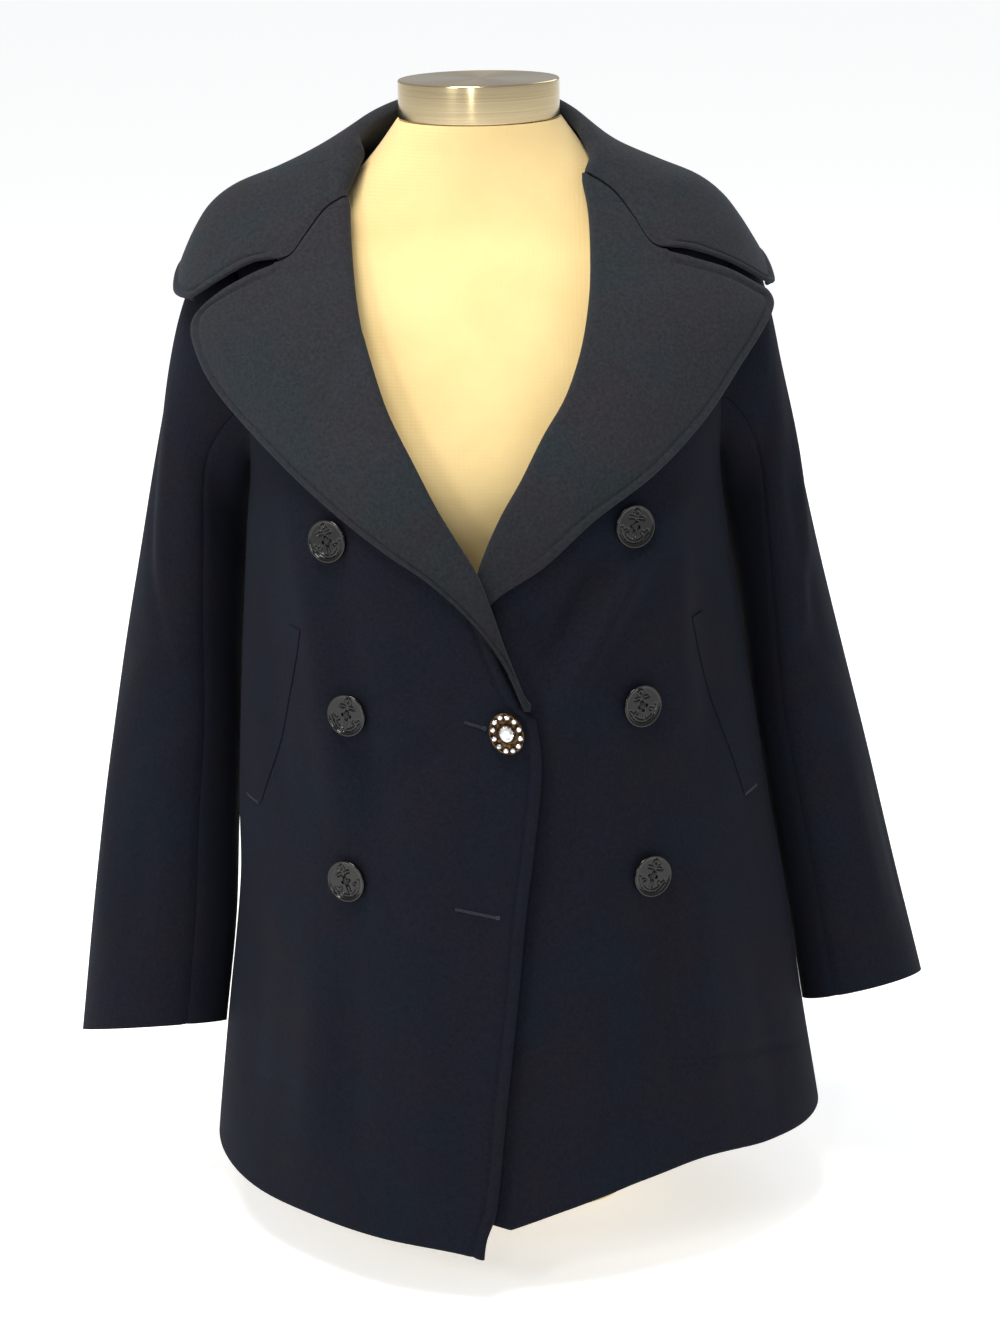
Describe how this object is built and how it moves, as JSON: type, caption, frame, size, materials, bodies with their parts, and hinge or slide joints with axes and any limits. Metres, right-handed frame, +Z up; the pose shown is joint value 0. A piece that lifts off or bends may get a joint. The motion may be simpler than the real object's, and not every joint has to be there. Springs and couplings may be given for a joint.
{
  "type": "pea coat on a dress form",
  "caption": "Women's double-breasted wool pea coat with a wide rounded collar and lapels, buttoned once, filled out by a limbless tabletop dress form with a round neck cap.",
  "frame": {"origin": "on the flat underside of the dress form, below the middle of the coat's body", "axes": "+Z up, the coat's front faces -Y, the wearer's right is -X and the wearer's left is +X"},
  "size_m": [0.6265, 0.3509, 0.8203],
  "materials": {
    "wool_melton": "napped wool melton, near-black navy",
    "button_resin": "gloss",
    "antique_gold": "darkened gilt",
    "cut_glass": "faceted, foil backed",
    "form_jersey": "smooth cream jersey",
    "brushed_brass": "brushed, champagne tone"
  },
  "bodies": {
    "root": {"front_right": "wool_melton", "back_right": "wool_melton", "sleeve_right_upper": "wool_melton", "sleeve_right_under": "wool_melton", "lapel_right": "wool_melton", "pocket_welt_right": "wool_melton", "front_left": "wool_melton", "back_left": "wool_melton", "sleeve_left_upper": "wool_melton", "sleeve_left_under": "wool_melton", "lapel_left": "wool_melton", "pocket_welt_left": "wool_melton", "collar": "wool_melton", "button_right_top": "button_resin", "button_right_middle": "button_resin", "button_right_lower": "button_resin", "button_left_top": "button_resin", "button_left_middle": "button_resin", "button_left_lower": "button_resin", "jewel_setting": "antique_gold", "jewel_stone_01": "cut_glass", "jewel_stone_02": "cut_glass", "jewel_stone_03": "cut_glass", "jewel_stone_04": "cut_glass", "jewel_stone_05": "cut_glass", "jewel_stone_06": "cut_glass", "jewel_stone_07": "cut_glass", "jewel_stone_08": "cut_glass", "jewel_stone_09": "cut_glass", "jewel_stone_10": "cut_glass", "jewel_stone_11": "cut_glass", "jewel_stone_12": "cut_glass", "jewel_centre_stone": "cut_glass", "dress_form": "form_jersey", "neck_cap": "brushed_brass"}
  },
  "joints": []
}
